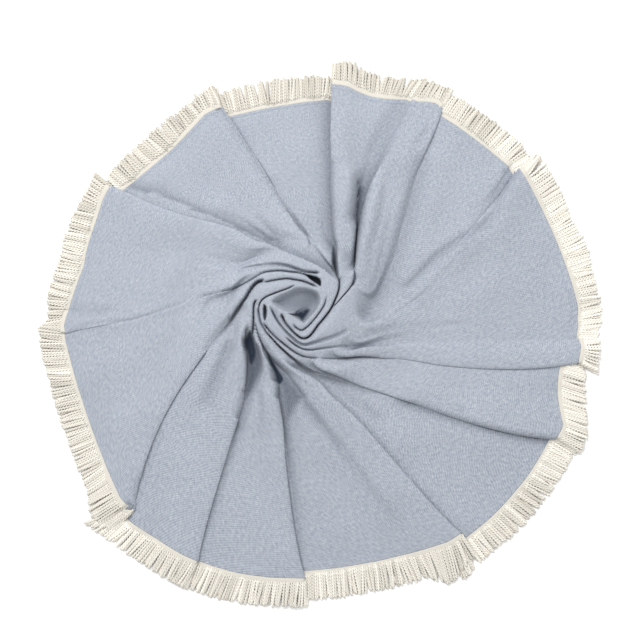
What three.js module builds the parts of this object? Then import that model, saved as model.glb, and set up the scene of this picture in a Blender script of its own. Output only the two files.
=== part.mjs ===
// A round cotton beach towel lying on the floor, twisted at its middle into a spiral
// whose folds run out to the edge, with a cord fringe sewn all round.
// Millimetres, +Z up. The swirl's middle is the pole of the polar tables below,
// angles are degrees counter-clockwise from +X seen from above.
import * as THREE from "three";

// Cloth
const clothThickness = 1.5;
const clothColour = "#b4bbc6";
const clothRoughness = 0.95;
const sharpestMitre = 0.7;

// Fringe: a narrow heading beside the cloth's edge, and locks of cord that start in it
const seamGap = 0.6;
const headingWidth = 10;
const lockLength = 47;
const lockThickness = 2.6;
const lockPitch = 17;
const lockTipShare = 0.5;
const shortestLockRoot = 8;
const fringeColour = "#e2dccf";
const fringeRoughness = 0.9;

// Where the towel's outline has its own centre, seen from the swirl's middle
const outlineCentre = new THREE.Vector2(40, -66);

// The hollow at the swirl's middle lies a little off it, and the rings round it follow
const hollowOffset = new THREE.Vector2(2, -18);
const hollowRadius = 45;
const hollowReach = 150;

// Ring sizes as shares of the distance from the swirl's middle to the edge
const rings = [
  0.03, 0.055, 0.08, 0.105, 0.13, 0.16, 0.195, 0.235, 0.28, 0.335, 0.4, 0.48, 0.57, 0.67, 0.78, 0.89, 1,
];
const meanEdgeRadius = 540;

// How the folds change from the middle outwards: radius, rise of a fold over the layer under it,
// height of the valley floor, share of a fold's full lap, how far it is a lap and not a plain step,
// and the length in which a layer eases out of a fold
const swirlColumns = ["radius", "rise", "valley", "lapShare", "folded", "ease"];
const swirlRows = [
  [0, 0, 4, 0, 0, 0.3],
  [20, 0.3, 5, 0.1, 0, 1.1],
  [45, 5, 22, 0.12, 0, 2.9],
  [75, 13, 29, 0.2, 0, 5.2],
  [100, 18, 23, 0.3, 0.25, 6.8],
  [145, 22, 8, 0.45, 1, 7],
  [220, 17, 0, 0.75, 1, 10],
  [330, 12, 0, 1.05, 1, 14],
  [620, 10.5, 0, 1, 1, 16],
];

// The folds, counter-clockwise: which way each lies (1 with its clockwise side on top, -1 with the other),
// its angle at the edge and at set radii, the edge's radius on both sides of it and half way to the next,
// the length of its lap, its rise against the others, the radius where it fades out,
// and how many columns of points the panel after it has
const foldColumns = [
  "over", "edge", "at330", "at220", "at145", "at90",
  "radiusBefore", "radiusAfter", "radiusNext", "lap", "lift", "reach", "columns",
];
const foldRows = [
  [1, 32.5, 18, -2, -20, -62, 561, 543, 524, 24, 0.95, 900, 3],
  [-1, 54, 45, 27, 1, -34, 513, 527, 519, 12, 0.95, 900, 1],
  [1, 61.5, 60.8, 54.6, 36, 0, 509, 502, 479, 12, 1.25, 900, 2],
  [1, 82.2, 79, 72.4, 59, 25, 484, 449, 435, 30, 1.15, 900, 3],
  [-1, 112.4, 107.7, 100.4, 87, 48, 439, 464, 442, 32, 1.05, 900, 4],
  [-1, 148.6, 144, 132.6, 119, 75, 463, 492, 487, 34, 1.1, 900, 2],
  [-1, 167, 165, 158, 146, 101, 487, 487, 503, 0, 0.8, 170, 2],
  [1, 187.5, 184.5, 178, 165, 125, 524, 526, 534, 22, 0.95, 900, 5],
  [1, 231, 215, 204, 186, 145, 585, 611, 609, 34, 1, 900, 2],
  [1, 248, 242.4, 235.3, 213, 165, 611, 611, 609, 30, 1.2, 900, 3],
  [1, 270.5, 263.3, 256.7, 242, 185, 603, 589, 591, 34, 1.2, 900, 4],
  [1, 304.5, 297.8, 288.5, 269, 205, 613, 629, 626, 30, 0.9, 900, 4],
  [-1, 331.6, 318, 305, 283, 225, 621, 631, 593, 32, 1.1, 900, 2],
  [-1, 347.8, 336, 327, 306, 245, 584, 619, 616, 30, 1, 900, 2],
  [-1, 356, 350.5, 341.5, 319, 270, 609, 607, 575, 0, 0.8, 270, 4],
];
const stationRadii = [0, 45, 90, 145, 220, 330];
const turnInside = 60;
const fadeShare = 0.4;
const panelFall = 95;

// One fold in section, from the upper panel round its lap to the lower panel: place along the ring in laps
// and eases and height as a share of the rise, then place in eases and height where the fold is a plain step,
// and whether the point belongs to the upper panel's edge
const sectionColumns = ["laps", "eases", "height", "step", "stepHeight", "upper"];
const sectionRows = [
  [-1, -1, 1, -2, 1, 1],
  [0, -0.1, 1, -0.7, 0.97, 1],
  [0, 0.1, 0.55, -0.25, 0.68, 1],
  [-1, -0.1, 0.45, 0.25, 0.32, 0],
  [-1, 0.1, 0, 0.7, 0.03, 0],
  [0, 1, 0, 2, 0, 0],
];

const named = (columns, rows) =>
  rows.map((row) => Object.fromEntries(columns.map((name, i) => [name, row[i]])));
const swirl = named(swirlColumns, swirlRows);
const folds = named(foldColumns, foldRows);
const section = named(sectionColumns, sectionRows);

const radians = THREE.MathUtils.degToRad;
const mix = THREE.MathUtils.lerp;
const smooth = THREE.MathUtils.smoothstep;

// A curve through points, with slopes taken from the neighbours on both sides
function curveAt(xs, ys, x) {
  const last = xs.length - 1;
  const slope = (i) => {
    const a = Math.max(0, i - 1);
    const b = Math.min(last, i + 1);
    return (ys[b] - ys[a]) / (xs[b] - xs[a]);
  };
  let i = 0;
  while (i < last - 1 && x > xs[i + 1]) i += 1;
  const span = xs[i + 1] - xs[i];
  const t = Math.min(1, Math.max(0, (x - xs[i]) / span));
  const rising = t * t * (3 - 2 * t);
  const startBend = t * (1 - t) * (1 - t) * span * slope(i);
  const endBend = t * t * (t - 1) * span * slope(i + 1);
  return mix(ys[i], ys[i + 1], rising) + startBend + endBend;
}

const swirlRadii = swirl.map((row) => row.radius);
const swirlAt = (name, radius) => curveAt(swirlRadii, swirl.map((row) => row[name]), radius);

// The radius of a ring where the towel's edge lies at edgeRadius: round inside, the outline at the edge
const ringRadius = (share, edgeRadius) => share * mix(meanEdgeRadius, edgeRadius, share * share);

function foldAngle(fold, radius) {
  const edgeRadius = (fold.radiusBefore + fold.radiusAfter) / 2;
  const inner = fold.at90 - turnInside;
  const angles = [inner - turnInside, inner, fold.at90, fold.at145, fold.at220, fold.at330, fold.edge];
  return curveAt([...stationRadii, edgeRadius], angles, radius);
}

// The six points of one fold on a ring, counter-clockwise, as angle, radius and height
function foldPoints(fold, share) {
  const before = ringRadius(share, fold.radiusBefore);
  const after = ringRadius(share, fold.radiusAfter);
  const radius = (before + after) / 2;
  const angle = radians(foldAngle(fold, radius));
  const strength = 1 - smooth(radius, fold.reach * (1 - fadeShare), fold.reach * (1 + fadeShare));
  const folded = fold.lap > 0 ? swirlAt("folded", radius) : 0;
  const lap = fold.lap * swirlAt("lapShare", radius);
  const ease = swirlAt("ease", radius);
  const rise = swirlAt("rise", radius) * fold.lift * strength;
  const upper = fold.over > 0 ? before : after;
  const lower = fold.over > 0 ? after : before;
  const points = section.map((row) => {
    const along = mix(row.step * ease, row.laps * lap + row.eases * ease, folded);
    return {
      angle: angle + (fold.over * along) / radius,
      radius: mix(lower, upper, row.upper),
      height: swirlAt("valley", radius) + rise * mix(row.stepHeight, row.height, folded),
    };
  });
  return fold.over > 0 ? points : points.reverse();
}

// The points of the panel between two folds: it falls to the floor away from its raised ends
function panelPoints(start, end, fold, next, share) {
  const points = [];
  for (let i = 1; i <= fold.columns; i += 1) {
    const t = i / (fold.columns + 1);
    const startWeight = (1 - t) * (1 - 2 * t);
    const middleWeight = 4 * t * (1 - t);
    const endWeight = t * (2 * t - 1);
    const edgeRadius =
      startWeight * fold.radiusAfter + middleWeight * fold.radiusNext + endWeight * next.radiusBefore;
    const radius = ringRadius(share, edgeRadius);
    const angle = mix(start.angle, end.angle, t);
    const valley = swirlAt("valley", radius);
    const distance = Math.min(t, 1 - t) * (end.angle - start.angle) * radius;
    const fall = Math.max(0, 1 - distance / panelFall) ** 2;
    const height = valley + (mix(start.height, end.height, t) - valley) * fall;
    points.push({ angle, radius, height });
  }
  return points;
}

// One ring of the cloth's middle surface, as a closed row of points
function ringPoints(share) {
  const parts = folds.map((fold) => foldPoints(fold, share));
  const row = [];
  folds.forEach((fold, i) => {
    const turn = i + 1 < folds.length ? 0 : 2 * Math.PI;
    const next = (i + 1) % folds.length;
    const end = { ...parts[next][0] };
    end.angle += turn;
    const start = parts[i][parts[i].length - 1];
    row.push(...parts[i], ...panelPoints(start, end, fold, folds[next], share));
  });
  return row.map((point) => {
    const drift = 1 - smooth(point.radius, hollowRadius, hollowReach);
    return new THREE.Vector3(
      point.radius * Math.cos(point.angle) + hollowOffset.x * drift,
      point.radius * Math.sin(point.angle) + hollowOffset.y * drift,
      point.height + clothThickness / 2,
    );
  });
}

// A mesh from a list of points and a list of triangles that name them
function meshOf(name, points, triangles, colour, roughness) {
  const geometry = new THREE.BufferGeometry().setFromPoints(points);
  geometry.setIndex(triangles);
  geometry.computeVertexNormals();
  const material = new THREE.MeshStandardMaterial({ color: colour, roughness, metalness: 0 });
  const mesh = new THREE.Mesh(geometry, material);
  mesh.name = name;
  return mesh;
}

const facing = (a, b, c) =>
  new THREE.Vector3().crossVectors(b.clone().sub(a), c.clone().sub(a)).normalize();

// The cloth: its middle surface, thickened to both sides, with a wall round the edge
function makeCloth(grid, pole) {
  const count = grid[0].length;
  const last = grid.length - 1;
  const leans = grid.map((row) => row.map(() => ({ sum: new THREE.Vector3(), faces: 0 })));
  const lean = (k, j, normal) => {
    leans[k][j % count].sum.add(normal);
    leans[k][j % count].faces += 1;
  };
  for (let k = 0; k < last; k += 1) {
    for (let j = 0; j < count; j += 1) {
      const n = (j + 1) % count;
      const normal = facing(grid[k][j], grid[k + 1][j], grid[k][n])
        .add(facing(grid[k][n], grid[k + 1][j], grid[k + 1][n]))
        .normalize();
      [[k, j], [k, n], [k + 1, j], [k + 1, n]].forEach(([row, column]) => lean(row, column, normal));
    }
  }
  const offset = (k, j) => {
    const { sum, faces } = leans[k][j];
    const mean = sum.clone().divideScalar(faces);
    const length = Math.max(sharpestMitre, mean.length());
    return mean.normalize().multiplyScalar(clothThickness / 2 / length);
  };
  const points = [];
  [1, -1].forEach((side) => {
    points.push(pole.clone().add(new THREE.Vector3(0, 0, (side * clothThickness) / 2)));
    grid.forEach((row, k) => row.forEach((point, j) => {
      const moved = point.clone().addScaledVector(offset(k, j), side);
      moved.z = Math.max(side > 0 ? clothThickness : 0, moved.z);
      points.push(moved);
    }));
  });
  const sideSize = 1 + grid.length * count;
  const at = (side, k, j) => side * sideSize + 1 + k * count + (j % count);
  const edge = grid[last].map((point, j) => ({ top: points[at(0, last, j)], low: points[at(1, last, j)] }));
  const triangles = [];
  for (let j = 0; j < count; j += 1) {
    triangles.push(0, at(0, 0, j), at(0, 0, j + 1));
    triangles.push(sideSize, at(1, 0, j + 1), at(1, 0, j));
    for (let k = 0; k < last; k += 1) {
      triangles.push(at(0, k, j), at(0, k + 1, j), at(0, k, j + 1));
      triangles.push(at(0, k, j + 1), at(0, k + 1, j), at(0, k + 1, j + 1));
      triangles.push(at(1, k, j), at(1, k, j + 1), at(1, k + 1, j));
      triangles.push(at(1, k, j + 1), at(1, k + 1, j + 1), at(1, k + 1, j));
    }
    triangles.push(at(0, last, j), at(1, last, j), at(1, last, j + 1));
    triangles.push(at(0, last, j), at(1, last, j + 1), at(0, last, j + 1));
  }
  return { edge, mesh: meshOf("cloth", points, triangles, clothColour, clothRoughness) };
}

// The way the fringe runs from a point of the edge: straight away from the outline's centre, level
function outward(point) {
  return new THREE.Vector3(point.x - outlineCentre.x, point.y - outlineCentre.y, 0).normalize();
}

// The stops along the edge between which the heading runs straight, and whether a lock starts after each
function headingStops(edge) {
  const stops = [];
  edge.forEach((from, j) => {
    const to = edge[(j + 1) % edge.length];
    const length = from.top.distanceTo(to.top);
    const locks = length < shortestLockRoot ? 0 : Math.max(1, Math.round(length / lockPitch));
    const pieces = Math.max(1, locks);
    for (let i = 0; i < pieces; i += 1) {
      const top = from.top.clone().lerp(to.top, i / pieces);
      const low = from.low.clone().lerp(to.low, i / pieces);
      stops.push({ top, low, away: outward(top), lock: locks > 0 });
    }
  });
  return stops;
}

// The fringe: a closed heading strip round the edge, with a tapering lock on each stretch of it
function makeFringe(edge) {
  const stops = headingStops(edge);
  const count = stops.length;
  const points = stops.flatMap(({ top, low, away }) => [
    top.clone().addScaledVector(away, seamGap),
    low.clone().addScaledVector(away, seamGap),
    top.clone().addScaledVector(away, seamGap + headingWidth),
    low.clone().addScaledVector(away, seamGap + headingWidth),
  ]);
  const corners = (j) => [0, 1, 2, 3].map((corner) => 4 * (j % count) + corner);
  const triangles = [];
  const quad = (a, b, c, d) => triangles.push(a, b, c, a, c, d);
  const addLock = (root, away) => {
    const [top, low, nextLow, nextTop] = root.map((i) => points[i]);
    const lowMiddle = low.clone().lerp(nextLow, 0.5);
    const topMiddle = top.clone().lerp(nextTop, 0.5);
    const thickness = topMiddle.clone().sub(lowMiddle).setLength(lockThickness);
    const tip = root.map((i, corner) => {
      const onTop = corner === 0 || corner === 3;
      const side = corner < 2 ? low : nextLow;
      const point = lowMiddle.clone().lerp(side, lockTipShare).addScaledVector(away, lockLength);
      points.push(onTop ? point.add(thickness) : point);
      return points.length - 1;
    });
    root.forEach((start, i) => {
      const following = (i + 1) % root.length;
      quad(start, root[following], tip[following], tip[i]);
    });
    quad(...tip);
  };
  stops.forEach((stop, j) => {
    const [innerTop, innerLow, outerTop, outerLow] = corners(j);
    const [nextInnerTop, nextInnerLow, nextOuterTop, nextOuterLow] = corners(j + 1);
    quad(innerTop, outerTop, nextOuterTop, nextInnerTop);
    quad(innerLow, nextInnerLow, nextOuterLow, outerLow);
    quad(innerTop, nextInnerTop, nextInnerLow, innerLow);
    const root = [outerTop, outerLow, nextOuterLow, nextOuterTop];
    if (stop.lock) addLock(root, stop.away);
    else quad(...root);
  });
  return meshOf("fringe", points, triangles, fringeColour, fringeRoughness);
}

const grid = rings.map(ringPoints);
const pole = new THREE.Vector3(hollowOffset.x, hollowOffset.y, swirlAt("valley", 0) + clothThickness / 2);
const cloth = makeCloth(grid, pole);
const towel = new THREE.Group();
towel.add(cloth.mesh, makeFringe(cloth.edge));

// The towel's own origin is under the middle of its box, on the floor
const box = new THREE.Box3().setFromObject(towel, true);
const middle = box.getCenter(new THREE.Vector3());
towel.children.forEach((piece) => piece.position.set(-middle.x, -middle.y, 0));

export default towel;
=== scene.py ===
# A round cotton beach towel that lies twisted at its middle, with a cord fringe sewn all round
import math

import bpy
import numpy as np
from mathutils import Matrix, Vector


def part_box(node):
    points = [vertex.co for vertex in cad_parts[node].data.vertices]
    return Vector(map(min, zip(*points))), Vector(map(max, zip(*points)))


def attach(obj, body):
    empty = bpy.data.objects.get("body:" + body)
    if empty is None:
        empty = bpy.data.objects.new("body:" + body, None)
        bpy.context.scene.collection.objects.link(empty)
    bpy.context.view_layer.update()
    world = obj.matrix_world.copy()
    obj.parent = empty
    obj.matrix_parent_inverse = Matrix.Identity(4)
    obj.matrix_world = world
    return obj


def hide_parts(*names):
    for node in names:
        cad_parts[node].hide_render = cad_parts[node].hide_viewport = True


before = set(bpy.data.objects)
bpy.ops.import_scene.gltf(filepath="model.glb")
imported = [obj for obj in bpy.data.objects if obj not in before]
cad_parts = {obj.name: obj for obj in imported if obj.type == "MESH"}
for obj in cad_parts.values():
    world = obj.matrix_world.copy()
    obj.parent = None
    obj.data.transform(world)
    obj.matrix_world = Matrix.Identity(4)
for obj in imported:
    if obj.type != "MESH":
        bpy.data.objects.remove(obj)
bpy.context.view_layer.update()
scene = bpy.context.scene

# Units: sizes in millimetres and angles in degrees, round the swirl's middle; the scene is in metres
MM = 0.001
SEED = 41

# Cloth: thickness, flat diameter, and the doubled hem along its edge
CLOTH_THICKNESS = 1.5
FLAT_DIAMETER = 1400.0
HEM_WIDTH = 13.0
HEM_STEP = 0.45
HEM_STEP_LENGTH = 1.0
STITCH_FROM_EDGE = 10.5
STITCH_LENGTH = 3.2
STITCH_PITCH = 4.4
STITCH_RADIUS = 0.5
STITCH_STEPS = 4
STITCH_SIDES = 6
STITCH_END_SHARE = 0.12

# Fringe: a woven heading beside the cloth's edge, and two-ply cords that come out of it
SEAM_OVERLAP = 0.4
HEADING_WIDTH = 12.0
HEADING_THICKNESS = 2.6
HEADING_PITCH = 4.0
HEADING_SIDES = 10
HEADING_ROUNDING = (0.5, 0.7)
CORD_START = 4.0
CORD_SINK = 4.5
CORD_RISE_LENGTH = 9.0
CORD_LENGTH = 57.0
CORD_PITCH = 4.7
CORD_TURN = 13.5
CORD_STEPS = 26
TIP_HEIGHT_SHARE = 0.55
TIP_FALL = 1.6
TIP_START = 0.93
TIP_SLIMMER = 0.3
LOWEST_POINT = 0.05
PLY_SIDES = 5
PLY_RADIUS = 2.25
PLY_OFFSET = 1.3
FRINGE_PIECES = 4
LOWER_RADIUS = 2.2
LOWER_STEPS = 10
LOWER_SHORTER = 3

# How cords differ: slow wander round the edge, by reach and number of waves, then spread between cords
LEAN_WANDER = (5, 44)
LENGTH_WANDER = (1.5, 50)
CURL_WANDER = (2.5, 70)
TONE_WANDER = (0.1, 60)
MEAN_TONE = 0.5
GROUP_SIZES = (2, 7)
GROUP_LEAN_SPREAD = 2.2
LEAN_SPREAD = 1.5
CURL_SPREAD = 2.2
REST_SPREAD = 0.8
LENGTH_SPREAD = 1.6
TONE_SPREAD = 0.18
LOWER_LEAN_SPREAD = 5
LOWER_TONE_SPREAD = 0.2

# Places round the fringe, by angle and half width: how far its cords lean there, counter-clockwise, how
# much longer they reach, and how much paler they are; lean and length mark where the fringe is disturbed,
# and tone
# is painted light and shade: cords lighter on the right and at the bottom, darker at the top and left
FRINGE_COLUMNS = "angle spread lean extra tone".split()
FRINGE_ROWS = (
    (3, 14, 0, -3, 0), (10.5, 3, 0, 6, 0), (15, 5, 0, -6, 0), (29.5, 1.2, 20, 0, 0),
    (33, 1.5, -14, -8, 0), (56, 2.5, 6, -14, 0), (66, 9, 0, -7, 0), (78, 2, 0, 4, 0), (82, 3, 0, -7, 0),
    (103, 8, 0, 4, 0), (119, 6, 0, -9, 0), (151, 6, 0, -13, 0), (162, 8, 0, -4, 0), (183, 2.5, 8, -14, 0),
    (226.5, 3, -14, 16, 0), (247, 22, 0, 8, 0), (284, 16, 0, 8, 0), (299.5, 3.2, -14, 28, 0),
    (313, 6, 0, 6, 0), (327, 10, 0, 6, 0), (341, 4, 0, 9, 0), (348.6, 1.4, -24, -6, 0),
    # From angle 6 on, painted light and shade: paler cords on the right and at the bottom, darker at the
    # top and left
    (352, 3, 0, -10, 0), (6, 28, 0, 0, 0.42), (97, 40, 0, 0, -0.3), (180, 30, 0, 0, -0.1),
    (270, 35, 0, 0, 0.15),
)

# Where the towel's outline has its own centre, and the hollow at the swirl's middle
OUTLINE_CENTRE = np.array([40.0, -66.0, 0.0])
HOLLOW_OFFSET = np.array([2.0, -18.0])
HOLLOW_RADIUS = 45.0
HOLLOW_REACH = 150.0

# Rings of the fine sheet: radius of the first, the steps outwards from it, then rings along the hem
MEAN_EDGE_RADIUS = 540.0
FIRST_RADIUS = 6.0
CORE_STEPS = np.full(66, 1.6)
MIDDLE_STEPS = np.full(66, 2.5)
OUTER_STEPS = np.linspace(3.0, 16.0, 27)
HEM_RINGS = (15.0, 13.6, 12.6, 10.5, 7.0, 3.5, 1.2, 0.0)
HEM_CLEARANCE = 2.0
PANEL_DETAIL = 4
UNDER_RINGS = 6
UNDER_COLUMNS = 2

# How the folds change from the middle outwards
SWIRL_COLUMNS = "radius rise valley lap_share folded ease".split()
SWIRL_ROWS = (
    (0, 0, 5, 0, 0, 0.3),
    (20, 0.3, 5, 0.1, 0, 1.1),
    (45, 8, 6, 0.12, 0, 2.9),
    (75, 29, 7, 0.2, 0, 5.2),
    (100, 34, 5, 0.3, 0.25, 6.8),
    (145, 27, 2, 0.45, 1, 7),
    (220, 17, 0, 0.75, 1, 10),
    (330, 12, 0, 1.05, 1, 14),
    (620, 10.5, 0, 1, 1, 16),
)

# The folds, counter-clockwise: which way each lies, its angles from the edge inwards, the edge's radius
# on both sides and half way to the next, its lap, its rise near the middle, and its panel's columns
FOLD_COLUMNS = "over edge at330 at220 at145 at90 before after next lap lift columns".split()
FOLD_ROWS = (
    (1, 32.5, 18, -2, -20, -62, 561, 543, 524, 24, 0.95, 3),
    (-1, 54, 45, 27, 1, -34, 513, 527, 519, 20, 0.7, 1),
    (1, 61.5, 60.8, 54.6, 36, 0, 509, 502, 479, 26, 1.25, 2),
    (1, 82.2, 79, 72.4, 59, 25, 484, 449, 435, 30, 1.15, 3),
    (-1, 112.4, 107.7, 100.4, 87, 48, 439, 464, 442, 32, 0.85, 4),
    (-1, 148.6, 144, 132.6, 119, 75, 463, 492, 487, 34, 0.85, 2),
    (-1, 167, 165, 158, 146, 101, 487, 487, 503, 0, 0.6, 2),
    (1, 187.5, 184.5, 178, 165, 125, 524, 526, 534, 22, 0.75, 5),
    (1, 231, 215, 204, 186, 145, 585, 611, 609, 34, 1, 2),
    (1, 248, 242.4, 235.3, 213, 165, 611, 611, 609, 30, 1.2, 3),
    (1, 270.5, 263.3, 256.7, 242, 185, 603, 589, 591, 34, 1.2, 4),
    (1, 304.5, 297.8, 288.5, 269, 205, 613, 629, 626, 30, 0.9, 4),
    (-1, 331.6, 318, 305, 283, 225, 621, 631, 593, 32, 1.1, 2),
    (-1, 347.8, 336, 327, 306, 245, 584, 619, 616, 30, 0.75, 2),
    (-1, 356, 350.5, 341.5, 319, 270, 609, 607, 575, 0, 0.6, 4),
)
STATION_RADII = (0.0, 45.0, 90.0, 145.0, 220.0, 330.0)
TURN_INSIDE = 60.0
PANEL_FALL = 130.0

# The same folds outside the swirl, each at radius 220, at 330 and at the edge: how high it stands, how wide
# its bend is, and how much of it is folded flat, as against a soft step; then how low the next panel stays
LOOK_RADIUS = 145.0
LOOK_PLACES = ("220", "330", "_edge")
LOOK_COLUMNS = [name + place for name in ("rise", "ease", "folded") for place in LOOK_PLACES] + ["open"]
LOOK_ROWS = (
    (6, 7, 11, 15, 17, 7, 0, 0, 1, 0),
    (12, 9, 8, 17, 17, 8, 0, 0, 0.4, 0),
    (34, 20, 3, 6, 8, 6, 1, 0.1, 0, 0),
    (32, 20, 12, 6, 6, 5, 1, 1, 1, 1),
    (10, 8, 12, 5, 4, 4, 1, 1, 1, 0.4),
    (11, 6, 6, 9, 9, 7, 0.7, 0.6, 0.7, 0.4),
    (3, 0, 0, 10, 14, 16, 0, 0, 0, 0),
    (4, 1.8, 3, 10, 9, 8, 0, 0, 0.3, 0),
    (10, 7, 10, 5, 4, 4, 1, 1, 1, 0.3),
    (22, 10, 9, 5, 4, 4, 1, 1, 1, 1),
    (26, 16, 14, 6, 5, 5, 1, 1, 1, 1),
    (18, 13, 10, 8, 7, 5, 0.8, 0.8, 1, 0.7),
    (8, 7.5, 15, 5, 4, 5, 1, 1, 1, 0.7),
    (5, 4, 14, 5, 4, 4, 1, 1, 1, 0),
    (6, 2, 0, 12, 16, 16, 0, 0, 0, 0),
)

# The middle of the swirl: a hollow, drawn by x and y in the photograph's pixels, and the plateau round it
HOLLOW_RIM = (
    270, 301, 277, 295, 287, 290, 297, 286, 309, 286.5, 318, 291, 321.5, 299, 319, 307, 313, 315,
    304, 323.5, 300, 318.5, 294, 314.5, 286, 312.5, 279, 310, 273, 306,
)
HOLLOW_SLOPE = (291, 290, 304, 321)
HOLLOW_HEIGHTS = (21.0, 1.0)
HOLLOW_WALLS = (9.0, 3.0)
PLATEAU_RADII = (0, 60, 90, 120, 165)
PLATEAU_HEIGHTS = (43, 44, 40, 31, 20)
CORE_REACH = (112.0, 165.0)
CREASE_LIMIT = 330.0

# Creases between the swirl's bands: depth in millimetres and half width in pixels at both ends, the side
# whose slope is gentle, 1 left of the way, -1 right and 0 none, then x and y of points along it
CORE_CREASES = (
    (24, 28, 0.9, 1.2, 1, 337.5, 276, 339, 281, 339, 286, 338, 292, 334, 302, 330, 310, 324, 318, 318, 325,
     313, 332, 308, 337, 302, 338, 296, 334, 291, 329, 286, 323, 283, 317, 281, 313),
    (10, 18, 0.8, 0.9, 1, 327, 294, 325, 303, 322, 309, 317, 316, 312, 322, 307, 327, 302, 330, 297, 328,
     292, 323),
    (22, 4, 1.2, 0.8, -1, 318, 283, 313, 279.5, 308, 276.5, 300, 273.5, 290, 272.3, 280, 271.3, 270, 272,
     263, 273.5, 256, 277.5, 249, 281.5, 241, 285.5, 231, 289.2, 220, 291.8, 205, 296, 190, 301),
    (22, 1, 1.3, 3.0, 1, 321, 273.5, 312, 272.8, 303, 271.5, 294, 268.5, 285, 266, 276, 265.3, 265, 266,
     250, 268.5, 232, 271.5, 212, 274.5),
    (22, 14, 1.1, 0.8, 1, 319.5, 288.5, 311, 284.5, 303, 281.5, 295, 280, 287, 279, 278, 280, 270, 281.5,
     262, 283.5),
    (34, 24, 2.0, 1.2, 1, 266, 280.5, 259, 282, 254, 286, 250, 291.5, 246.5, 297.5, 242, 303.5,
     236.5, 311.5, 232, 318, 222, 330, 212, 342, 202, 354),
    (16, 16, 0.8, 0.8, 0, 297, 284.5, 290, 288, 282, 291, 274, 294, 267, 297, 262, 301, 259.5, 307,
     260, 314, 261, 320, 264, 326),
    (20, 36, 0.9, 1.6, -1, 258, 306, 259.5, 316, 262, 324, 266, 331, 272, 338, 279, 345.5, 287, 353,
     297, 361.5, 308, 369.5, 318, 374, 330, 377, 345, 382, 362, 388),
    (20, 26, 1.0, 1.3, 1, 259, 299, 255, 303, 254, 311, 254, 319, 253.5, 328, 252, 335, 250, 342),
    (14, 30, 0.8, 1.4, 1, 255, 319, 257, 329, 260, 338, 264, 347.5, 268, 355),
    (26, 8, 1.2, 1.0, -1, 263, 322, 269, 329.5, 276, 337, 284, 343.5, 293, 350.5, 302, 355.5, 311, 357.3,
     322, 358),
    (7, 3, 0.8, 0.8, -1, 317, 357.8, 335, 358.5, 350, 357.5, 366, 356.5, 385, 358.3),
    (24, 5, 0.9, 3.0, 1, 270, 305, 275.5, 317, 280, 324, 286, 331, 292, 337, 298, 342, 304, 344.5, 312, 343,
     322, 340, 332, 337, 342, 333, 350, 328.5),
    (16, 3, 0.8, 1.6, 0, 285, 336, 293, 343, 301, 348, 310, 349.6, 320, 348.4, 332, 346.9, 343, 346.2,
     353, 346.8),
    (13, 12, 0.9, 0.7, 0, 355.5, 240, 355, 256, 354.5, 270, 353.5, 281, 349, 289, 343, 296, 336, 304,
     329, 311),
    (4, 20, 0.8, 0.9, 1, 310, 241, 318, 251, 325, 260.5, 332, 269, 337, 277),
)

# How creases end and slope, and how much shade they paint into the cloth's colour: fades, walls and reaches
# in pixels, and the rest as shares
CREASE_FADE = 8.0
CREASE_BOTTOM_SHARE = 0.35
CREASE_WALL = 0.55
CREASE_WALL_SHARE = 0.65
GENTLE_REACH = 9.0
GENTLE_SHARE = 0.45
CREASE_SHOULDER = (5.0, 0.16)
SOFT_FADE = 14.0
TROUGH_SHADE = 0.012
EDGE_SHADE = 0.02
LAYER_SHARE = 0.1

# Deep pockets between the folds: depth, width of the wall, how much shade is painted inside, and the
# outline
POCKETS = (
    (14, 1.0, 0.2, 354.8, 268, 356.2, 274, 356.5, 279, 354, 285, 350, 288, 352, 281, 353.5, 274),
    (46, 5, 0.84, 250, 329, 255, 335, 258, 344, 259.5, 353, 257.5, 362, 252, 368, 247, 365, 245.5, 359,
     244.5, 353, 242, 348, 241.5, 340, 246, 333),
    (30, 7, 0.55, 243, 338, 257, 340, 264, 352, 265, 368, 260, 382, 254, 394, 246, 406, 240, 410, 242, 396,
     243.5, 384, 245, 366, 242.5, 352),
    (46, 3, 0.86, 262, 343.5, 270, 353, 276, 363, 281, 371, 285, 378, 283, 384, 278, 386, 274.5, 380,
     271, 370, 267, 360),
    (22, 11, 0.46, 263, 346, 279, 359, 291, 373, 303, 387, 309, 398, 302, 408, 294, 422, 288, 438, 283, 430,
     276, 394, 268, 366),
    (36, 5, 0.7, 332.5, 246, 337.5, 243, 338.8, 262, 340, 275, 340.2, 286, 337, 282, 332.5, 273, 330, 262),
    (24, 2.4, 0.45, 264, 303, 267.5, 306, 268.5, 312, 267.5, 319, 265, 322, 263, 317, 262.8, 309),
    (46, 4.5, 0.85, 286, 312.5, 293, 312.5, 300, 308.5, 308, 306.5, 312, 310, 308, 317.5, 302.5, 322.5,
     297, 319.5, 291, 316),
    (46, 1.4, 0.7, 303, 273, 311, 274.5, 318, 277, 321.5, 281, 321, 287, 316, 284.5, 309, 279.5),
    (4, 10, 0.08, *HOLLOW_RIM),
)

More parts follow.
